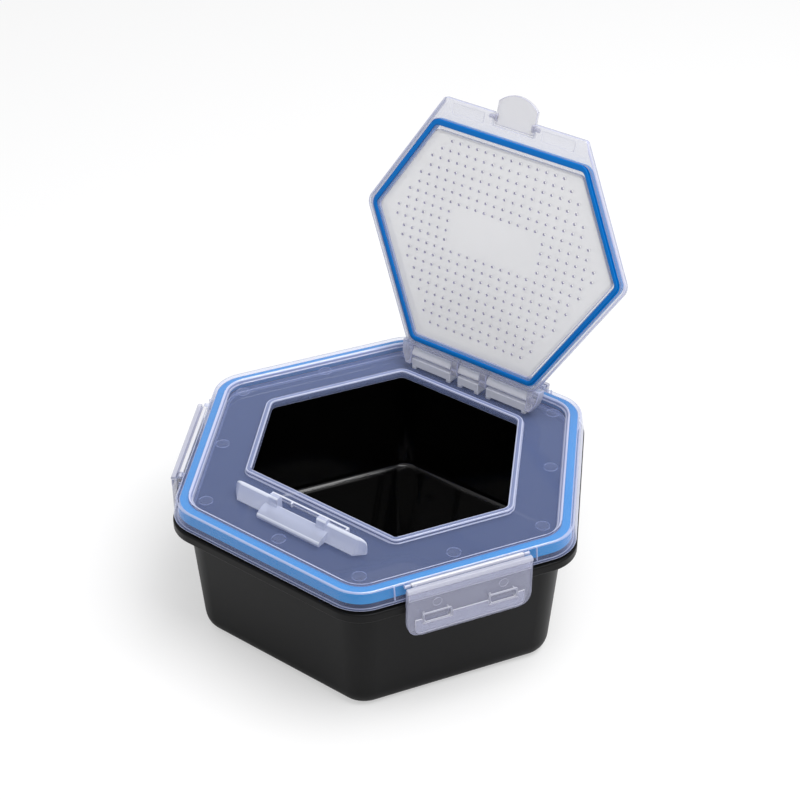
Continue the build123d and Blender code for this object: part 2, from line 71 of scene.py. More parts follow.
def hexagon_loops(rows, steps=8):
    """Turns rows of (flat, height, corner, front, front corner) into hexagon loops. Sides lie at
    the flat's distance along their normals, the front one at its own distance, and each corner is
    an arc about the point that is one corner radius inside both of its sides."""
    rows = np.asarray(rows, float)
    if rows.shape[1] == 3:
        rows = np.column_stack([rows, rows[:, 0], rows[:, 2]])
    flat, height, corner, front, front_corner = rows.T[:, :, None]
    normals = np.radians(270 + 60 * np.arange(6))
    distance = np.where(np.arange(6) == 0, front, flat)
    radius = np.where(np.isin(np.arange(6), (0, 5)), front_corner, corner)
    one, two = distance - radius, np.roll(distance, -1, 1) - radius
    n1, n2 = normals, np.roll(normals, -1)
    turn = np.cos(n1) * np.sin(n2) - np.sin(n1) * np.cos(n2)
    centre_x = (one * np.sin(n2) - two * np.sin(n1)) / turn
    centre_y = (two * np.cos(n1) - one * np.cos(n2)) / turn
    angle = normals[:, None] + np.radians(60) * np.linspace(0, 1, steps + 1)
    x = centre_x[:, :, None] + radius[:, :, None] * np.cos(angle)
    y = centre_y[:, :, None] + radius[:, :, None] * np.sin(angle)
    z = np.broadcast_to(height[:, :, None], x.shape)
    return np.stack([x, y, z], -1).reshape(len(rows), -1, 3)


def skin(loops, closed=False):
    """Joins closed loops of equal length with four-sided faces, the last loop to the first where
    the profile is closed, and otherwise with a flat face over each end."""
    count, around = loops.shape[:2]
    index = np.arange(count * around).reshape(count, around)
    lower = index if closed else index[:-1]
    upper = np.roll(index, -1, 0) if closed else index[1:]
    corners = [lower, np.roll(lower, -1, 1), np.roll(upper, -1, 1), upper]
    faces = np.stack(corners, -1).reshape(-1, 4).tolist()
    if not closed:
        faces += [index[0][::-1].tolist(), index[-1].tolist()]
    return loops.reshape(-1, 3), faces


def plate(outline, low, high, holes=(), axes=np.eye(3)):
    """A flat plate between two levels. The area inside the outline and outside the holes is cut
    into triangles, laid at both levels and walled along its border. The rows of axes say where the
    outline's two directions and the level point."""
    loops = [np.asarray(outline, float)] + [np.asarray(hole, float) for hole in holes]
    if holes:
        turns = [np.sum(p[:, 0] * np.roll(p[:, 1], -1) - p[:, 1] * np.roll(p[:, 0], -1))
                 for p in loops]
        loops = [p if turn > 0 else p[::-1] for p, turn in zip(loops, turns)]
        ends = np.cumsum([len(loop) for loop in loops])
        rings = [list(range(end - len(loop), end)) for end, loop in zip(ends, loops)]
        spots, _, triangles, _, _, sources = delaunay_2d_cdt(
            np.concatenate(loops).tolist(), [], rings, 1, 1e-5)
        flat_points = np.array([tuple(spot) for spot in spots])
        fill = [face for face, owners in zip(triangles, sources) if list(owners) == [0]]
        corners = np.array(fill)
        sides = np.concatenate([corners[:, [0, 1]], corners[:, [1, 2]], corners[:, [2, 0]]])
        _, first, uses = np.unique(np.sort(sides, 1), axis=0, return_index=True, return_counts=True)
        border = sides[first[uses == 1]]
    else:
        flat_points = loops[0]
        order = np.arange(len(flat_points))
        fill, border = [order.tolist()], np.column_stack([order, np.roll(order, -1)])
    count = len(flat_points)
    levels = [np.column_stack([flat_points, np.full(count, level)]) for level in (low, high)]
    faces = [list(face)[::-1] for face in fill] + [[i + count for i in face] for face in fill]
    faces += np.column_stack([border, border[:, ::-1] + count]).tolist()
    return np.concatenate(levels) @ np.asarray(axes, float), faces


def join(shells):
    """The points and the faces of several shells, as those of one."""
    starts = np.cumsum([0] + [len(points) for points, _ in shells]).tolist()
    faces = [[i + start for i in face] for start, (_, fill) in zip(starts, shells) for face in fill]
    return np.concatenate([points for points, _ in shells]), faces


def read_all(items, name, width=1, kind=float):
    """One property of all the vertices, edges, corners or faces of a mesh, as an array."""
    values = np.empty(len(items) * width, kind)
    items.foreach_get(name, values)
    return values.reshape(-1, width) if width > 1 else values


def mark_edges(mesh, narrow=0.00055, fold=0.002):
    """Gives every face the value 1 where it is part of a rounded edge and 0 elsewhere. Such a face
    is narrow, its width being its area over its longest side, and the surface turns at that side,
    so that the normals of the faces that meet there have a mean shorter than 1."""
    ends = read_all(mesh.edges, "vertices", 2, int)
    first, second = read_all(mesh.vertices, "co", 3)[ends].transpose(1, 0, 2)
    side = read_all(mesh.loops, "edge_index", kind=int)
    start = read_all(mesh.polygons, "loop_start", kind=int)
    area = read_all(mesh.polygons, "area")
    normal = read_all(mesh.polygons, "normal", 3)
    owner = np.repeat(np.arange(len(start)), np.diff(np.append(start, len(side))))
    total = np.zeros((len(mesh.edges), 3))
    np.add.at(total, side, normal[owner])
    meeting = np.maximum(np.bincount(side, minlength=len(total)), 1)
    turn = 1 - np.linalg.norm(total, axis=1) / meeting
    length = np.linalg.norm(second - first, axis=1)[side]
    longest = np.maximum.reduceat(length, start)
    turned = np.maximum.reduceat(np.where(length > 0.999 * longest[owner], turn[side], 0), start)
    value = (area / np.maximum(longest, 1e-9) < narrow) & (turned > fold)
    mesh.attributes.new("edge", "FLOAT", "FACE").data.foreach_set("value", value.astype(float))


def make_piece(name, shells, material, body, bevel=0.0, node=None, place=None, marks=None):
    """Makes one object of several shells given in millimetres, faces it outwards, rounds its edges
    where a bevel is given, gives it its material, hangs it on the body that carries it and hides
    the imported part of the CAD node it stands for."""
    points, faces = join(shells)
    mark = np.concatenate(marks) if marks else np.zeros(len(points))
    if place is not None:
        points = place(points)
    mesh = bpy.data.meshes.new(name)
    mesh.from_pydata((points * MM).tolist(), [], faces)
    mesh.attributes.new("mark", "FLOAT", "POINT").data.foreach_set("value", mark)
    shape = bmesh.new()
    shape.from_mesh(mesh)
    bmesh.ops.remove_doubles(shape, verts=shape.verts, dist=1e-7)
    bmesh.ops.recalc_face_normals(shape, faces=shape.faces)
    if bevel:
        bmesh.ops.dissolve_limit(
            shape, angle_limit=math.radians(0.5), verts=shape.verts, edges=shape.edges)
        folds = [edge for edge in shape.edges if edge.calc_face_angle(0) > math.radians(35)]
        bmesh.ops.bevel(shape, geom=folds, offset=bevel * MM, offset_type="OFFSET", segments=3,
                        profile=0.5, affect="EDGES", clamp_overlap=True)
    shape.to_mesh(mesh)
    shape.free()
    mesh.shade_smooth()
    mesh.set_sharp_from_angle(angle=math.radians(38))
    mark_edges(mesh)
    piece = bpy.data.objects.new(name, mesh)
    bpy.context.scene.collection.objects.link(piece)
    normals = piece.modifiers.new("normals", "WEIGHTED_NORMAL")
    normals.keep_sharp = True
    mesh.materials.append(material)
    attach(piece, body)
    if node:
        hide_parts(node)
    return piece


def add_node(tree, kind, links=None, **values):
    """Adds a node, sets its properties, and sets or links its input sockets by name or number."""
    node = tree.nodes.new(kind)
    for key, value in values.items():
        setattr(node, key, value)
    for key, value in (links or {}).items():
        socket = node.inputs[key]
        if isinstance(value, bpy.types.NodeSocket):
            tree.links.new(value, socket)
        else:
            socket.default_value = value
    return node


def compute(tree, operation, *values, clamp=False):
    """The result of one sum on sockets or numbers."""
    return add_node(tree, "ShaderNodeMath", dict(enumerate(values)), operation=operation,
                    use_clamp=clamp).outputs[0]


def mix(tree, factor, first, second, kind="RGBA"):
    """A blend of two colours or two numbers. A Mix node keeps a set of sockets for each kind."""
    one, two, result = {"FLOAT": (2, 3, 0), "RGBA": (6, 7, 2)}[kind]
    return add_node(tree, "ShaderNodeMix", {"Factor": factor, one: first, two: second},
                    data_type=kind).outputs[result]


# Moulding marks that every plastic here shares: a fine grain, and slow waves left by shrinkage.
moulding = bpy.data.node_groups.new("moulding", "ShaderNodeTree")
for label in ("Grain Scale", "Grain", "Wave Scale", "Wave"):
    moulding.interface.new_socket(label, in_out="INPUT", socket_type="NodeSocketFloat")
for label in ("Height", "Drift"):
    moulding.interface.new_socket(label, in_out="OUTPUT", socket_type="NodeSocketFloat")
given = moulding.nodes.new("NodeGroupInput").outputs
result = moulding.nodes.new("NodeGroupOutput").inputs
where = add_node(moulding, "ShaderNodeTexCoord").outputs["Object"]
grain = add_node(moulding, "ShaderNodeTexNoise", {
    "Vector": where, "Scale": given["Grain Scale"], "Detail": 3.0}).outputs["Fac"]
wave = add_node(moulding, "ShaderNodeTexNoise", {
    "Vector": where, "Scale": given["Wave Scale"], "Detail": 2.0}).outputs["Fac"]
height = compute(moulding, "ADD", compute(moulding, "MULTIPLY", grain, given["Grain"]),
                 compute(moulding, "MULTIPLY", wave, given["Wave"]))
moulding.links.new(height, result["Height"])
moulding.links.new(wave, result["Drift"])


def new_material(name, **marks):
    """An empty node material with its output and with the moulding marks at its own values."""
    material = bpy.data.materials.new(name)
    material.use_nodes = True
    tree = material.node_tree
    tree.nodes.clear()
    moulded = add_node(tree, "ShaderNodeGroup", node_tree=moulding)
    for label, value in marks.items():
        moulded.inputs[label.replace("_", " ").title()].default_value = value
    return material, tree, tree.nodes.new("ShaderNodeOutputMaterial"), moulded.outputs


def spread(tree, value, low, high):
    """Spreads the middle of a noise over a range of numbers."""
    return add_node(tree, "ShaderNodeMapRange", {
        "Value": value, "From Min": 0.3, "From Max": 0.7, "To Min": low, "To Max": high}).outputs[0]


tub_black, tree, out, marks = new_material(
    "tub_black", grain_scale=1400.0, grain=0.5, wave_scale=18.0, wave=1.0)
inside = add_node(tree, "ShaderNodeAttribute", attribute_name="mark").outputs["Fac"]
satin = mix(tree, marks["Drift"], (0.004, 0.004, 0.0042, 1), (0.007, 0.007, 0.0074, 1))
bump = add_node(tree, "ShaderNodeBump", {
    "Strength": 0.06, "Distance": 0.0004, "Height": marks["Height"]})
plastic = add_node(tree, "ShaderNodeBsdfPrincipled", {
    "Base Color": mix(tree, inside, satin, (0.001, 0.001, 0.001, 1)),
    "Roughness": mix(tree, inside, spread(tree, marks["Drift"], 0.33, 0.4), 0.03, "FLOAT"),
    "IOR": 1.49, "Specular IOR Level": 0.12,
    "Coat Weight": compute(tree, "MULTIPLY", inside, 0.75), "Coat Roughness": 0.03,
    "Normal": bump.outputs[0]})
tree.links.new(plastic.outputs[0], out.inputs[0])

FLOOR_FLAT, FLANGE = 74.8, 58.6
wall_flat = FLOOR_FLAT + FLANGE * math.tan(math.radians(4.45))
tub_profile = np.array([
    # flat, height, corner, cut
    (62.0, 0.0, 2.0, 0),  # underside
    (FLOOR_FLAT, 0.0, 12.0, 7.7),
    (wall_flat, FLANGE, 16.6, 0.7),
    (83.8, FLANGE, 15.9, 0.4),  # turned-down lip
    (83.8, 56.2, 15.9, 0.5),
    (85.4, 56.2, 17.5, 0.6),
    (85.4, 60.4, 17.5, 0.9),
    (82.5, 60.4, 15.9, 0.4),  # sealing bead
    (82.5, 65.4, 15.9, 0.7),
    (80.5, 65.4, 13.9, 0.7),
    (80.5, 60.4, 13.9, 0.4),
    (77.5, 60.4, 14.7, 0.9),  # polished inside
    (72.95, 2.0, 10.2, 3.2),
    (60.0, 2.0, 2.0, 0),
])
tub_rows = soften(tub_profile[:, :-1], tub_profile[:, -1], steps=8)
tub_loops = hexagon_loops(tub_rows, steps=10)
polished = (np.arange(len(tub_rows)) > np.argmax(tub_rows[:, 1])).astype(float)
tub_marks = [np.repeat(polished, tub_loops.shape[1])]
tub_shells = [skin(tub_loops)]

# The lugs that the latches hook over hang from the flange, in pairs on every second side.
LATCH_SIDES = {"latch_front_right": 330, "latch_back": 90, "latch_left": 210}
LUG_SPANS, WEB = ((9.2, 20.0), (-20.0, -9.2)), 1.6


def side_axes(side):
    """Rows that point outwards, upwards and along a side, for plates drawn as a section."""
    a = math.radians(side)
    return np.array([(math.cos(a), math.sin(a), 0), (0, 0, 1), (math.sin(a), -math.cos(a), 0)])


lug_section = soften(
    [(83.8, 52.5), (87.2, 52.5), (87.2, 55.5), (85.4, 55.5), (85.4, 59.0), (83.8, 59.0)],
    [0.3, 0.4, 0.4, 0.3, 0, 0], closed=True)
web_section = [(78.6, 52.5), (83.9, 52.5), (83.9, 59.0), (79.0, 59.0)]
for side in LATCH_SIDES.values():
    for start, end in LUG_SPANS:
        tub_shells.append(plate(lug_section, start, end, axes=side_axes(side)))
        for low in (start, end - WEB):
            tub_shells.append(plate(web_section, low, low + WEB, axes=side_axes(side)))
tub_marks += [np.zeros(len(points)) for points, _ in tub_shells[1:]]
make_piece("tub_moulding", tub_shells, tub_black, "box", node="tub", marks=tub_marks)

# MAIN SEAL
# A solid ring of blue silicone that lies in the channel under the lid's rim and is pressed down on
# the tub's bead, with a thin outer lip down the inside of the skirt. It shows through the milky
# plastic above and beside it.
SEAL_TOP, SEAL_FOOT, SEAL_LIP = 69.35, 65.5, 64.0


def silicone(name, colour, deeper):
    """Silicone: a soft sheen, a slow drift between two depths of its colour and a fine bloom."""
    material, tree, out, marks = new_material(
        name, grain_scale=1800.0, grain=0.6, wave_scale=40.0, wave=0.5)
    bump = add_node(tree, "ShaderNodeBump", {
        "Strength": 0.08, "Distance": 0.0003, "Height": marks["Height"]})
    rubber = add_node(tree, "ShaderNodeBsdfPrincipled", {
        "Base Color": mix(tree, marks["Drift"], (*colour, 1), (*deeper, 1)),
        "Roughness": 0.45, "IOR": 1.42, "Specular IOR Level": 0.2, "Normal": bump.outputs[0]})
    tree.links.new(rubber.outputs[0], out.inputs[0])
    return material


main_seal_blue = silicone("main_seal_blue", (0.0, 0.27, 0.62), (0.0, 0.23, 0.54))
seal_rows = soften(
    [(82.9, SEAL_LIP, 15.5), (82.1, SEAL_TOP, 14.9), (78.3, SEAL_TOP, 12.2),
     (78.3, SEAL_FOOT, 12.2), (82.6, SEAL_FOOT, 15.4), (82.6, SEAL_LIP, 15.4)],
    [0.1, 0.6, 0.6, 0.3, 0.1, 0.1], closed=True)
seal_loops = hexagon_loops(seal_rows, steps=10)
make_piece("main_seal_ring", [skin(seal_loops, closed=True)], main_seal_blue, "box",
           node="main_seal")

# MAIN LID
# One moulding of milky polypropylene, made together with the clips, ears, ribs and ridge of the
# next sections: a skirt over the tub's flange, a round rim, a sunken deck and a raised lip round
# the opening. The seal's channel is open below the rim.
RIM_TOP, DECK, DECK_UNDERSIDE = 70.5, 68.7, 66.7
SKIRT_FOOT, CHANNEL_FOOT, CHANNEL_TOP = 62.05, 63.5, 69.4


def milky(name, colour, haze, edge_haze, rim=0.4, painted_edge_colour=(0.86, 0.88, 0.97), roughness=0.22,
          gloss=1.6, grain=0.03, fine=0.35, graze=0.35):
    """Milky polypropylene: each wall lets part of the light straight through and scatters the rest,
    and more of it is scattered where the wall is thick or is seen edge on. Haze is the share that
    one face keeps, rim is what its rounded edges add to that, and graze is what a face adds that is
    seen edge on, in proportion to the third power of how far it turns away. Rounded edges take the
    edge colour, and thick parts take a share of it. On the edges this is partly the longer way
    through the plastic and partly painted light: a painted highlight where the edge colour is paler
    than the plastic, and painted shade where it is darker. Faces seen edge on are painted darker,
    towards a grey violet, as painted shade. Gloss is the index of the clear coat, grain the depth
    of the moulding marks and fine their finer part."""
    material, tree, out, marks = new_material(
        name, grain_scale=1200.0, grain=fine, wave_scale=26.0, wave=0.8)
    edge = add_node(tree, "ShaderNodeAttribute", attribute_name="edge").outputs["Fac"]
    thick = add_node(tree, "ShaderNodeAttribute", attribute_name="mark").outputs["Fac"]
    facing = add_node(tree, "ShaderNodeLayerWeight", {"Blend": 0.35}).outputs["Facing"]
    turned = compute(tree, "POWER", facing, 3.0)

    drift = mix(tree, marks["Drift"], (*colour, 1), (*[c * 0.94 for c in colour], 1))
    # Painted light on rounded edges: they, and thick parts in a smaller share, are blended towards
    # the edge colour. This is a painted highlight where that colour is paler and painted shade
    # where it is darker.
    lit = compute(tree, "MULTIPLY_ADD", thick, 0.3, edge, clamp=True)
    pale = mix(tree, lit, drift, (*painted_edge_colour, 1))
    # Painted shade: faces seen edge on are darkened towards grey violet.
    tone = mix(tree, turned, pale, (0.36, 0.37, 0.50, 1))

    clouds = spread(tree, marks["Drift"], haze * 0.92, haze * 1.08)
    walls = mix(tree, facing, clouds, edge_haze, "FLOAT")
    body = compute(tree, "MULTIPLY_ADD", thick, 0.2, walls)
    grazed = compute(tree, "MULTIPLY_ADD", turned, graze, body)
    opacity = compute(tree, "MULTIPLY_ADD", edge, rim, grazed, clamp=True)

    bump = add_node(tree, "ShaderNodeBump", {
        "Strength": grain, "Distance": 0.0004, "Height": marks["Height"]})
    plastic = add_node(tree, "ShaderNodeBsdfPrincipled", {
        "Base Color": tone, "Roughness": roughness, "IOR": 1.5, "Alpha": opacity,
        "Coat Weight": 0.6, "Coat Roughness": 0.05, "Coat IOR": gloss, "Normal": bump.outputs[0]})
    tree.links.new(plastic.outputs[0], out.inputs[0])
    return material


# Painted highlight: the lid's edge colour is paler than its plastic, so its rounded edges are
# painted lighter. Its thick lip and slope take a share of the same paler colour.
lid_milky = milky("lid_milky", (0.36, 0.47, 0.92), haze=0.04, edge_haze=0.33, rim=0.4,
                  painted_edge_colour=(0.58, 0.62, 0.84), roughness=0.15, gloss=1.8, grain=0.02, fine=0.0,
                  graze=0.9)
lid_profile = np.array([
    # flat, height, corner, front, front corner, cut
    (85.0, SKIRT_FOOT, 17.5, 85.0, 17.5, 0.4),  # skirt
    (83.6, RIM_TOP, 16.1, 83.6, 16.1, 1.4),
    (77.8, RIM_TOP, 11.2, 77.8, 11.2, 0.7),  # slope from the rim to the deck
    (76.9, DECK, 10.3, 76.9, 10.3, 0.4),
    (58.1, DECK, 6.0, 46.5, 3.7, 0.4),
    (58.0, RIM_TOP, 6.0, 46.4, 3.6, 0.6),  # lip of the opening
    (55.5, RIM_TOP, 3.5, 44.0, 1.2, 0.6),
    (55.5, DECK_UNDERSIDE, 3.5, 44.0, 1.2, 0.3),
    (76.4, DECK_UNDERSIDE, 10.3, 76.4, 10.3, 0.2),
    (76.4, CHANNEL_FOOT, 10.3, 76.4, 10.3, 0.4),  # seal's channel
    (78.1, CHANNEL_FOOT, 12.0, 78.1, 12.0, 0.4),
    (78.1, CHANNEL_TOP, 12.0, 78.1, 12.0, 0.2),
    (82.2, CHANNEL_TOP, 14.9, 82.2, 14.9, 0.3),
    (83.4, SKIRT_FOOT, 15.9, 83.4, 15.9, 0.3),
])
lid_rows = soften(lid_profile[:, :-1], lid_profile[:, -1], closed=True)
lid_loops = hexagon_loops(lid_rows, steps=10)

# The lip and the slope are seen through more plastic than the walls beside them.
lid_flat, raised = lid_rows[:, 0], lid_rows[:, 1] > DECK + 0.1
lip = raised & (lid_flat < 58.3)
slope = raised & (lid_flat > 76.3) & (lid_flat < 78.3)
make_piece("main_lid_moulding", [skin(lid_loops, closed=True)], lid_milky, "box",
           node="main_lid", marks=[np.repeat(1.3 * lip + 1.8 * slope, lid_loops.shape[1])])

# HINGE CLIPS
# Three crowned clips of the lid's plastic behind the opening, each on two small feet. Their bores
# are open at the front by less than the rod's width, so the hatch's rod snaps in and turns there.
HINGE_Y, HINGE_Z = 65.0, 75.2
HINGE = (HINGE_Y, HINGE_Z)
CLIP_FRONT, CLIP_BACK, CLIP_FOOT = 62.0, 68.0, 70.1
CLIP_SPANS, CLIP_BORE, FOOT_WIDTH = ((-31.5, -10.0), (-5.7, 5.7), (10.0, 31.5)), 1.25, 2.2
SECTION = np.array([(0, 1, 0), (0, 0, 1), (1, 0, 0)])


def arc(centre, radius, start, end, steps):
    """Points on a circle between two angles in degrees."""
    a = np.radians(np.linspace(start, end, steps + 1))
    return np.column_stack([centre[0] + radius * np.cos(a), centre[1] + radius * np.sin(a)])


def rectangle(left, low, right, high):
    """The four corners of an upright rectangle."""
    return [(left, low), (right, low), (right, high), (left, high)]


clip_section = np.concatenate([
    [(CLIP_BACK, CLIP_FOOT), (CLIP_BACK, 77.4), (66.5, 79.7), (63.5, 79.7), (CLIP_FRONT, 77.4)],
    [(CLIP_FRONT, 76.15)], arc(HINGE, CLIP_BORE, 130.5, -130.5, 20),
    [(CLIP_FRONT, 74.25), (CLIP_FRONT, CLIP_FOOT)],
])
foot_section = rectangle(CLIP_FRONT, DECK, CLIP_BACK, 70.15)
clip_shells = [plate(clip_section, low, high, axes=SECTION) for low, high in CLIP_SPANS]
for low, high in CLIP_SPANS:
    for start in (low, high - FOOT_WIDTH):
        clip_shells.append(plate(foot_section, start, start + FOOT_WIDTH, axes=SECTION))
# The clips are the lid's plastic painted near white. This is partly for their thicker plastic and
# partly painted light that brightens them. Their pale edge colour is a painted highlight.
clip_milky_painted_light = milky("clip_milky_painted_light", (0.90, 0.91, 0.98), haze=0.42, edge_haze=0.75, rim=0.15,
                   roughness=0.3)
make_piece("hinge_clips", clip_shells, clip_milky_painted_light, "box", bevel=0.3)

# LATCH EARS
# Two small ears of the lid's plastic stand out of the skirt beside each latch, one at each end of
# its barrel, and hold its trunnions.
LATCH_AXIS = (84.9, 69.6)
LATCH_HALF, EAR_WIDTH = 27.5, 2.6
ear_section = np.concatenate([[(83.5, 70.45), (83.5, 68.8)], arc(LATCH_AXIS, 0.88, -90, 90, 14)])
ear_shells = [plate(ear_section, start, start + EAR_WIDTH, axes=side_axes(side))
              for side in LATCH_SIDES.values() for start in (LATCH_HALF - EAR_WIDTH, -LATCH_HALF)]
make_piece("latch_ears", ear_shells, lid_milky, "box", bevel=0.25)

# CATCH RIDGE
# A low ridge of the lid's plastic, moulded on the deck behind the catch with four short stubs on
# its front. It ends just under the front bar of the closed hatch.
RIDGE_HALF, STUB_WIDTH = 20.5, 0.9
ridge = rectangle(-51.9, DECK, -51.0, 71.0)
stub = rectangle(-52.9, DECK, -51.5, 70.9)
ridge_shells = [plate(ridge, -RIDGE_HALF, RIDGE_HALF, axes=SECTION)]
ridge_shells += [plate(stub, low, low + STUB_WIDTH, axes=SECTION)
                 for low in (-RIDGE_HALF, -9.6, 8.7, RIDGE_HALF - STUB_WIDTH)]
# The ridge is the lid's plastic made clearer, with a strong rim and the pale edge colour. This is a
# painted highlight along its top edges.
ridge_clear_painted_highlight = milky("ridge_clear_painted_highlight", (0.55, 0.6, 0.85), haze=0.12, edge_haze=0.6, rim=0.55)
make_piece("catch_ridge", ridge_shells, ridge_clear_painted_highlight, "box", bevel=0.25)

# SKIRT RIBS
# A thin upright rib of the lid's plastic on each side of a latch, moulded on the skirt. It stiffens
# the skirt where the latch pulls at it.
RIB_REACH, RIB_WIDTH = 31.6, 0.5
rib_section = [(84.0, 64.0), (85.1, 64.0), (84.3, 70.0), (83.3, 70.0)]
rib_shells = [plate(rib_section, start, start + RIB_WIDTH, axes=side_axes(side))
              for side in LATCH_SIDES.values() for start in (-RIB_REACH, RIB_REACH - RIB_WIDTH)]
make_piece("skirt_ribs", rib_shells, lid_milky, "box", bevel=0.2)

# EJECTOR MARKS
# Round marks that the mould's ejector pins leave in the deck, one near each corner and one at the
# middle of each side but the one behind the hinge: a fine ring with a faintly hazed disc inside.
SIDE_MARKS, CORNER_MARKS = 71.8, 81.6
RING_RADIUS, RING_HOLE, DISC_RADIUS = 3.1, 2.8, 2.9
RING_LEVELS, DISC_LEVELS = (68.6, 68.78), (68.64, 68.72)


def circle(centre, radius, count=24):
    """Points all round a circle."""
    return arc(centre, radius, 0, 360 - 360 / count, count - 1)


ring_shells, disc_shells = [], []
for turn in range(0, 360, 60):
    for angle, distance in ((270 + turn, SIDE_MARKS), (300 + turn, CORNER_MARKS)):
        if angle % 360 == LATCH_SIDES["latch_back"]:
            continue
        a = math.radians(angle)
        spot = (distance * math.cos(a), distance * math.sin(a))
        hole = circle(spot, RING_HOLE)
        ring_shells.append(plate(circle(spot, RING_RADIUS), *RING_LEVELS, holes=[hole]))
        disc_shells.append(plate(circle(spot, DISC_RADIUS), *DISC_LEVELS))
ejector_milky = milky("ejector_milky", (0.52, 0.55, 0.76), haze=0.01, edge_haze=0.07, rim=0.0,
                      graze=0.0)
make_piece("ejector_marks", ring_shells, lid_milky, "box")
make_piece("ejector_discs", disc_shells, ejector_milky, "box")

# SIDE LATCHES
# Three snap flaps of the same milky plastic, one on every second side. Each is one moulding of a
# barrel, its trunnions, a rounded shoulder and a flap, and hooks over the tub's lugs with two
# slots. Bands along its edges, lips round the slots and fine rings stand proud of its face.
BARREL_HALF, BARREL_RADIUS = 24.6, 0.9
TRUNNION_HALF, TRUNNION_RADIUS = 27.4, 0.5
FLAP_BACK, FLAP_FACE, FLAP_FOOT, FLAP_TOP = 86.5, 88.5, 45.5, 68.4
SLOT_PLACES, SLOT_HALF, SLOT_FOOT, SLOT_TOP, SLOT_LIP = (-14.6, 14.6), 5.8, 52.1, 55.9, 0.6
POCKET_LEVELS, LIP_LEVELS = (87.4, 88.1), (88.4, 88.9)
LOWER_BAND_LEVELS, UPPER_BAND_LEVELS = (88.4, 88.95), (88.4, 88.75)
MARK_HEIGHT, MARK_RADIUS, MARK_HOLE, MARK_LEVELS = 60.8, 2.0, 1.88, (88.45, 88.56)


def face_axes(side):
    """Rows that point along a side, upwards and outwards, for plates drawn on its face."""
    a = math.radians(side)
    return np.array([(-math.sin(a), math.cos(a), 0), (0, 0, 1), (math.cos(a), math.sin(a), 0)])


# Painted highlight: the latch's pale edge colour and strong rim light up the rounded edges of its
# flap, bands, lips and rings.
latch_milky = milky("latch_milky", (0.55, 0.57, 0.77), haze=0.2, edge_haze=0.62, rim=0.5,
                    painted_edge_colour=(0.80, 0.80, 0.84), roughness=0.3)
# The shoulder is a copy of the latch's plastic whose rounded edges are painted darker and fainter
# than the flap's. This is painted shade on its round top.
shoulder_milky_painted_shade = milky("shoulder_milky_painted_shade", (0.56, 0.58, 0.76), haze=0.3, edge_haze=0.62, rim=0.3,
                       painted_edge_colour=(0.58, 0.59, 0.70), roughness=0.3)
flap_outline = soften(rectangle(-LATCH_HALF, FLAP_FOOT, LATCH_HALF, FLAP_TOP),
                      [7.0, 7.0, 0.4, 0.4], closed=True, steps=8)


def slot_outline(middle, wider, cut):
    """The rounded outline of a slot, or of the lip that runs round it where it is drawn wider."""
    half = SLOT_HALF + wider
    corners = rectangle(middle - half, SLOT_FOOT - wider, middle + half, SLOT_TOP + wider)
    return soften(corners, [cut] * 4, closed=True)


slots = [slot_outline(middle, 0, cut=0.9) for middle in SLOT_PLACES]
slot_lips = [slot_outline(middle, SLOT_LIP, cut=1.1) for middle in SLOT_PLACES]
lower_band = soften(
    [(-24.3, 46.8), (24.3, 46.8), (24.3, 54.0), (21.2, 54.0), (21.2, 51.4), (8.0, 51.4),
     (8.0, 54.0), (-8.0, 54.0), (-8.0, 51.4), (-21.2, 51.4), (-21.2, 54.0), (-24.3, 54.0)],
    [2.5] * 2 + [0.3] * 10, closed=True)
upper_band = rectangle(-27.0, 64.4, 27.0, 68.2)
bridge = [(84.9, 70.45), (86.9, 69.8), (86.9, 68.1), (84.9, 68.7)]
shoulder = soften(
    [(86.7, 69.9), (87.4, 69.75), (88.2, 69.9), (88.9, 69.2), (88.95, 68.3), (88.5, 67.9),
     (86.7, 67.9)],
    [0, 0.2, 0.3, 0.4, 0.3, 0.1, 0], closed=True, steps=3)
barrel = circle(LATCH_AXIS, BARREL_RADIUS)
trunnions = circle(LATCH_AXIS, TRUNNION_RADIUS)
for latch_name, side in LATCH_SIDES.items():
    across, upright = side_axes(side), face_axes(side)
    shells = [
        plate(flap_outline, FLAP_BACK, FLAP_FACE, slots, upright),
        plate(bridge, -BARREL_HALF, BARREL_HALF, axes=across),
        plate(barrel, -BARREL_HALF, BARREL_HALF, axes=across),
        plate(trunnions, -TRUNNION_HALF, TRUNNION_HALF, axes=across),
        plate(lower_band, *LOWER_BAND_LEVELS, axes=upright),
        plate(upper_band, *UPPER_BAND_LEVELS, axes=upright),
    ]
    for slot, lip in zip(slots, slot_lips):
        shells.append(plate(lip, *LIP_LEVELS, [slot], upright))
        pocket_floor = slot[slot[:, 1] < SLOT_TOP - 0.8]
        shells.append(plate(pocket_floor, *POCKET_LEVELS, axes=upright))
    for middle in SLOT_PLACES:
        spot = (middle, MARK_HEIGHT)
        hole = circle(spot, MARK_HOLE)
        shells.append(plate(circle(spot, MARK_RADIUS), *MARK_LEVELS, [hole], upright))
    make_piece(latch_name + "_shoulder", [plate(shoulder, -LATCH_HALF, LATCH_HALF, axes=across)],
               shoulder_milky_painted_shade, latch_name + "_body", bevel=0.3)
    make_piece(latch_name + "_flap", shells, latch_milky, latch_name + "_body",
               bevel=0.4, node=latch_name)

# HATCH FRAME
# The hatch's milky rim, drawn closed and then swung open. It holds the vent panel in a pocket and
# the seal in a groove, and at the back carries the rod and the arms that turn in the lid's clips.
# The bar in front is cut out for the finger lever and hollowed beside it.
HATCH_OPEN = math.radians(104.7)
FRAME_FOOT, FRAME_TOP, GROOVE_TOP = 71.3, 74.3, 72.3
PANEL_FOOT, PANEL_TOP = 71.9, 73.5
ROD_HALF, ROD_RADIUS, ARM_WIDTH, ARM_REACH = 34.5, 1.2, 3.7, 9.7
CLEAR_BELOW, CLEAR_ABOVE = 70.0, 76.0


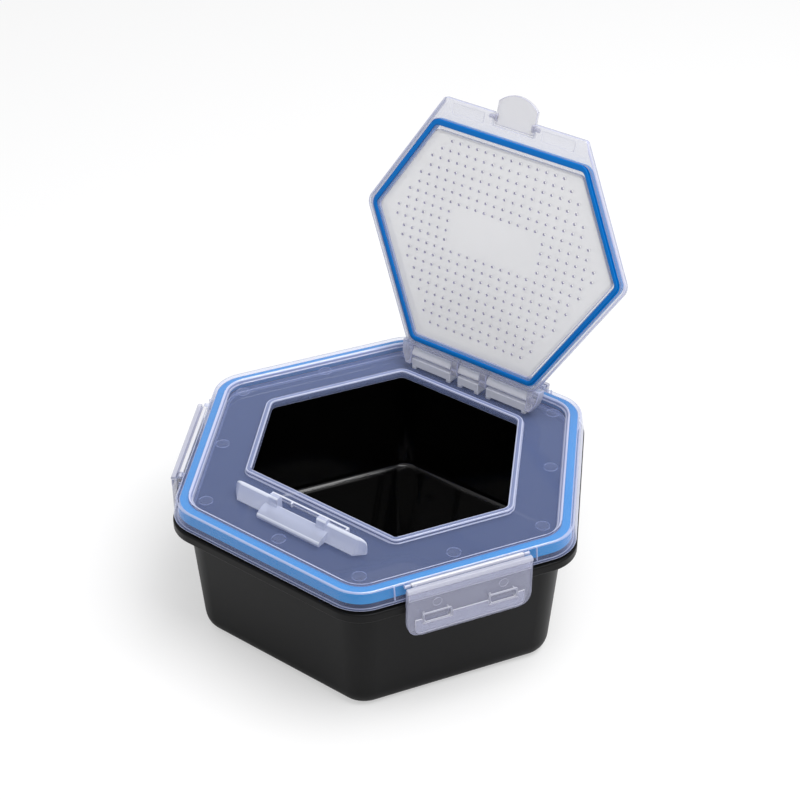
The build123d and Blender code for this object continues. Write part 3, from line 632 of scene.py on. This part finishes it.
def swing_open(points):
    """Turns points of the closed hatch about the hinge line to the pose of the photograph."""
    y, z = points[:, 1] - HINGE_Y, points[:, 2] - HINGE_Z
    c, s = math.cos(-HATCH_OPEN), math.sin(-HATCH_OPEN)
    return np.column_stack([points[:, 0], HINGE_Y + y * c - z * s, HINGE_Z + y * s + z * c])


def carve(piece, cutter_shells):
    """Takes closed shells, which are swung open like the hatch, away from a piece and keeps the
    result as its own mesh."""
    points, faces = join(cutter_shells)
    mesh = bpy.data.meshes.new("cutter")
    mesh.from_pydata((swing_open(points) * MM).tolist(), [], faces)
    shape = bmesh.new()
    shape.from_mesh(mesh)
    bmesh.ops.recalc_face_normals(shape, faces=shape.faces)
    shape.to_mesh(mesh)
    shape.free()
    cutter = bpy.data.objects.new("cutter", mesh)
    bpy.context.scene.collection.objects.link(cutter)
    cut = piece.modifiers.new("cut", "BOOLEAN")
    cut.operation, cut.object, cut.solver = "DIFFERENCE", cutter, "EXACT"
    others = [modifier for modifier in piece.modifiers if modifier != cut]
    for modifier in others:
        modifier.show_viewport = False
    bpy.context.view_layer.update()
    seen = piece.evaluated_get(bpy.context.evaluated_depsgraph_get())
    carved = bpy.data.meshes.new_from_object(seen)
    piece.modifiers.remove(cut)
    for modifier in others:
        modifier.show_viewport = True
    piece.data = carved
    bpy.data.objects.remove(cutter)


# Painted shade: the hatch's edge colour is darker than its plastic, so its rounded edges are
# painted as dark violet outlines.
hatch_milky = milky("hatch_milky", (0.64, 0.65, 0.76), haze=0.28, edge_haze=0.75, rim=0.45,
                    painted_edge_colour=(0.46, 0.48, 0.68))
frame_profile = np.array([
    # flat, height, corner, front, front corner, cut
    (60.0, FRAME_FOOT, 6.0, 56.6, 2.0, 0.7),
    (60.0, FRAME_TOP, 6.0, 56.6, 2.0, 0.9),
    (52.0, FRAME_TOP, 2.5, 40.0, 2.5, 0.3),  # pocket of the vent panel
    (52.0, PANEL_TOP, 2.5, 40.0, 2.5, 0.1),
    (53.55, PANEL_TOP, 2.5, 41.55, 2.5, 0.1),
    (53.55, FRAME_FOOT, 2.5, 41.55, 2.5, 0.3),
    (55.15, FRAME_FOOT, 2.65, 43.75, 2.65, 0.2),  # groove of the seal
    (55.15, GROOVE_TOP, 2.65, 43.75, 2.65, 0.1),
    (57.55, GROOVE_TOP, 5.0, 46.15, 5.0, 0.1),
    (57.55, FRAME_FOOT, 5.0, 46.15, 5.0, 0.2),
])
frame_rows = soften(frame_profile[:, :-1], frame_profile[:, -1], closed=True)
inner_arm = np.concatenate([
    [(58.6, 74.2), (58.6, 71.4), (CLIP_FRONT, 71.4)], arc(HINGE, 3.0, -110, 150, 20)])
outer_arm = np.array(
    [(31.8, 58.6), (37.6, 58.6), (37.6, 60.4), (37.0, 64.9), (34.3, 69.6), (31.8, 69.6)])
arm_shells = [plate(inner_arm, low, low + ARM_WIDTH, axes=SECTION)
              for low in (ARM_REACH - ARM_WIDTH, -ARM_REACH)]
arm_shells += [plate(outer_arm * (sign, 1), PANEL_FOOT, 76.6) for sign in (-1, 1)]
arm_shells.append(plate(circle(HINGE, ROD_RADIUS), -ROD_HALF, ROD_HALF, axes=SECTION))
frame_piece = make_piece(
    "hatch_rim", [skin(hexagon_loops(frame_rows), closed=True)], hatch_milky, "hatch",
    node="hatch_frame", place=swing_open)
cutouts = [plate(rectangle(-10.7, -50.5, 10.7, -58.0), CLEAR_BELOW, CLEAR_ABOVE)]
for sign in (-1, 1):
    hollow = rectangle(sign * 15.0, -50.4, sign * 31.5, -55.0)
    cutouts.append(plate(hollow, CLEAR_BELOW, PANEL_FOOT))
carve(frame_piece, cutouts)
make_piece("hatch_arms", arm_shells, hatch_milky, "hatch", bevel=0.35,
           place=swing_open)

# VENT PANEL
# The paler plate of polypropylene in the frame's pocket, moulded with rows of small round holes
# round a plain patch. Columns counts the holes of each row on one side of the middle.
COLUMNS = (7, 8, 9, 9, 10, 10, 11, 11, 12, 12, 11, 11, 10, 10, 9, 9, 8, 7, 7, 6)
PATCH_ROWS, PATCH_COLUMNS = (7, 8, 9, 10), 5
HOLE_PITCH, ROW_PITCH, FIRST_ROW, HOLE_RADIUS = 4.5, 4.44, 38.1, 0.66
# Painted shade: the panel's dark edge colour darkens the walls of its holes and its rounded edges.
panel_milky = milky("panel_milky", (0.87, 0.87, 0.89), haze=0.66, edge_haze=0.8, rim=0.1,
                    painted_edge_colour=(0.40, 0.39, 0.58), roughness=0.35, gloss=1.5)
holes = []
for row, columns in enumerate(COLUMNS):
    for column in range(PATCH_COLUMNS if row in PATCH_ROWS else 0, columns):
        for sign in (-1, 1):
            centre = (sign * (column + 0.5) * HOLE_PITCH, row * ROW_PITCH - FIRST_ROW)
            holes.append(circle(centre, HOLE_RADIUS, 12))
panel_outline = hexagon_loops([(53.5, 0.0, 2.5, 41.5, 2.5)])[0][:, :2]
make_piece("vent_plate", [plate(panel_outline, PANEL_FOOT, PANEL_TOP, holes)], panel_milky,
           "hatch", node="vent_panel", place=swing_open)

# HATCH SEAL
# A thinner ring of the same blue silicone, pushed into the groove on the hatch's underside. It
# stands proud of the frame so that it meets the lip of the opening, and its root shows through the
# milky frame as a wider band. The ring is painted a darker blue than the lid's seal, as painted
# shade, and the root a brighter blue, as a painted highlight.
# Painted shade in the ring's darker blue and painted light in the root's brighter blue.
hatch_seal_painted_shade_blue = silicone("hatch_seal_painted_shade_blue", (0.0, 0.16, 0.52), (0.0, 0.13, 0.46))
root_painted_light_blue = silicone("hatch_seal_root_painted_light_blue", (0.0, 0.30, 0.80), (0.0, 0.26, 0.72))
ring_rows = soften(
    [(56.8, 70.6, 4.6, 46.3, 4.6), (56.8, 72.0, 4.6, 46.3, 4.6), (55.1, 72.0, 2.7, 43.6, 2.7),
     (55.1, 70.6, 2.7, 43.6, 2.7)],
    [0.4, 0.1, 0.1, 0.4], closed=True)
root_rows = soften(
    [(58.0, 71.9, 5.5, 46.3, 5.5), (58.0, 74.1, 5.5, 46.3, 5.5), (54.5, 74.1, 2.0, 43.5, 2.0),
     (54.5, 71.9, 2.0, 43.5, 2.0)],
    [0.1] * 4, closed=True)
make_piece("hatch_seal_ring", [skin(hexagon_loops(ring_rows), closed=True)], hatch_seal_painted_shade_blue,
           "hatch", node="hatch_seal", place=swing_open)
make_piece("hatch_seal_root", [skin(hexagon_loops(root_rows), closed=True)], root_painted_light_blue,
           "hatch", place=swing_open)

# LOCK LEVER
# The finger tab in the cut-out of the frame's front bar: a milky tongue with a round end. Two small
# lugs hang it on two short pins, about which it tilts.
LEVER_PIVOT, PIN_RADIUS, LUG_WIDTH = (-54.3, 72.8), 0.9, 1.2
TONGUE_MIDDLE, TONGUE_RADIUS, TONGUE_LEVELS = (0.0, -51.9), 13.99, (73.2, 74.8)
tongue = np.concatenate([
    [(10.1, -50.9), (-10.1, -50.9)],
    arc(TONGUE_MIDDLE, TONGUE_RADIUS, 180 + 43.8, 360 - 43.8, 20),
])
lever_lug = [(-55.6, 72.0), (-53.0, 72.0), (-52.4, 73.4), (-56.2, 73.4)]
lever_shells = [plate(tongue, *TONGUE_LEVELS)]
for pin_start, pin_end, lug_start in ((-13.0, -8.9, -10.1), (8.9, 13.0, 8.9)):
    lever_shells.append(plate(circle(LEVER_PIVOT, PIN_RADIUS), pin_start, pin_end, axes=SECTION))
    lever_shells.append(plate(lever_lug, lug_start, lug_start + LUG_WIDTH, axes=SECTION))
# Painted shade: the tab's edge colour is darker than its plastic, so its rounded edges are painted
# darker.
tab_milky = milky("tab_milky", (0.72, 0.72, 0.77), haze=0.5, edge_haze=0.7, rim=0.1,
                  painted_edge_colour=(0.5, 0.5, 0.66))
make_piece("finger_lever", lever_shells, tab_milky, "lever", bevel=0.3,
           node="lock_lever", place=swing_open)

# HATCH CATCH
# The raised milky block on the deck: two sloping wings, two round-topped knuckles that the lever
# swings down between, and a low saddle that leaves room for a finger under the tab.
WING_BACK, SADDLE_HALF, KNUCKLE_WIDTH = -57.5, 16.5, 4.7
WING_INNER, WING_TIP = 15.1, 34.7
# Painted highlight: the catch's pale edge colour lightens its rounded edges.
catch_milky = milky("catch_milky", (0.70, 0.75, 0.95), haze=0.38, edge_haze=0.75, rim=0.25,
                    painted_edge_colour=(0.80, 0.84, 0.96), roughness=0.3)
wing_section = soften(
    [(WING_BACK, DECK), (WING_BACK, 75.3), (-59.0, 75.3), (-62.5, 69.3), (-62.5, DECK)],
    [0, 0.4, 0.6, 0.4, 0], closed=True)
knuckle_section = soften(
    [(-57.0, DECK), (-57.0, 77.0), (-60.2, 77.0), (-60.6, 71.5), (-60.6, DECK)],
    [0, 1.3, 1.3, 0.4, 0], closed=True)
saddle_section = soften(
    [(-59.0, DECK), (-59.0, 73.0), (-63.5, 72.2), (-66.5, 70.4), (-66.5, DECK)],
    [0, 0.5, 1.5, 0.8, 0], closed=True)


def wing(start, tip, rounded=0.8, drawn_in=0.8, drop=0.35):
    """The wing's section repeated along x. Over the last fifth of the way its front is drawn in and
    its top comes down along a quarter circle."""
    along = np.array([0, 0.45, rounded, 0.87, 0.93, 0.975, 1.0])
    past = np.clip((along - rounded) / 0.2, 0, 1)[:, None]
    fall = 1 - drop * (1 - np.sqrt(1 - past ** 2))
    y = wing_section[None, :, 0] * (1 - drawn_in * past) + WING_BACK * drawn_in * past
    z = DECK + (wing_section[None, :, 1] - DECK) * fall
    x = np.broadcast_to((start + (tip - start) * along)[:, None], y.shape)
    return skin(np.stack([x, y, z], -1))


catch_shells = [wing(WING_INNER, WING_TIP), wing(-WING_INNER, -WING_TIP),
                plate(saddle_section, -SADDLE_HALF, SADDLE_HALF, axes=SECTION)]
catch_shells += [plate(knuckle_section, low, low + KNUCKLE_WIDTH, axes=SECTION)
                 for low in (WING_INNER - KNUCKLE_WIDTH, -WING_INNER)]
make_piece("catch_block", catch_shells, catch_milky, "box", bevel=0.45,
           node="hatch_catch")

# STUDIO
# A white floor that runs out of sight, a white surround, one broad softbox above and a camera
# at the photograph's viewing angle.
FLOOR_HALF, FLOOR_GLOW, SURROUND = 6, 0.46, 0.68
floor_mesh = bpy.data.meshes.new("floor")
floor_corners = rectangle(-FLOOR_HALF, -FLOOR_HALF, FLOOR_HALF, FLOOR_HALF)
floor_mesh.from_pydata([(x, y, 0) for x, y in floor_corners], [], [(0, 1, 2, 3)])
floor = bpy.data.objects.new("floor", floor_mesh)
bpy.context.scene.collection.objects.link(floor)
floor_white = bpy.data.materials.new("floor_white")
world = bpy.data.worlds.new("studio")
bpy.context.scene.world = world
for owner in (floor_white, world):
    owner.use_nodes = True
    owner.node_tree.nodes.clear()

tree = floor_white.node_tree
paper = add_node(tree, "ShaderNodeBsdfDiffuse", {"Color": (0.9, 0.9, 0.905, 1)})
glow = add_node(tree, "ShaderNodeEmission", {"Color": (1, 1, 1, 1), "Strength": 1.0})
ray = tree.nodes.new("ShaderNodeLightPath")
blend = add_node(tree, "ShaderNodeMixShader", {
    0: compute(tree, "MULTIPLY", ray.outputs["Is Camera Ray"], FLOOR_GLOW),
    1: paper.outputs[0], 2: glow.outputs[0]})
tree.links.new(blend.outputs[0], tree.nodes.new("ShaderNodeOutputMaterial").inputs[0])
floor_mesh.materials.append(floor_white)

tree = world.node_tree
soft = add_node(tree, "ShaderNodeBackground", {"Color": (1, 1, 1, 1), "Strength": SURROUND})
seen = add_node(tree, "ShaderNodeBackground", {"Color": (1, 1, 1, 1), "Strength": 1.0})
ray = tree.nodes.new("ShaderNodeLightPath")
blend = add_node(tree, "ShaderNodeMixShader", {
    0: ray.outputs["Is Camera Ray"], 1: soft.outputs[0], 2: seen.outputs[0]})
tree.links.new(blend.outputs[0], tree.nodes.new("ShaderNodeOutputWorld").inputs[0])

softbox_place, softbox_target = np.array((0.42, 0.05, 1.2)), np.array((0, 0, 0.05))
light = bpy.data.lights.new("key", "AREA")
light.shape, light.size, light.energy = "SQUARE", 0.8, 12
softbox = bpy.data.objects.new("key", light)
softbox.location = softbox_place
along_x, along_y, along_z = softbox_target - softbox_place
softbox.rotation_euler = (math.atan2(math.hypot(along_x, along_y), -along_z), 0,
                          math.atan2(along_y, along_x) - math.pi / 2)
bpy.context.scene.collection.objects.link(softbox)

camera_data = bpy.data.cameras.new("camera")
camera_data.lens, camera_data.sensor_width = 81.55, 36.0
camera_data.clip_start = 0.05
camera = bpy.data.objects.new("camera", camera_data)
camera_place = (0.3857, -0.5037, 0.5359)
right, back = np.array((0.8001, 0.5999, 0.0)), np.array((0.4937, -0.6584, 0.5682))
camera_rows = zip(right, np.cross(back, right), back, camera_place)
camera.matrix_world = Matrix([*camera_rows, (0, 0, 0, 1)])
bpy.context.scene.collection.objects.link(camera)
bpy.context.scene.camera = camera
bpy.context.scene.view_settings.view_transform = "Standard"
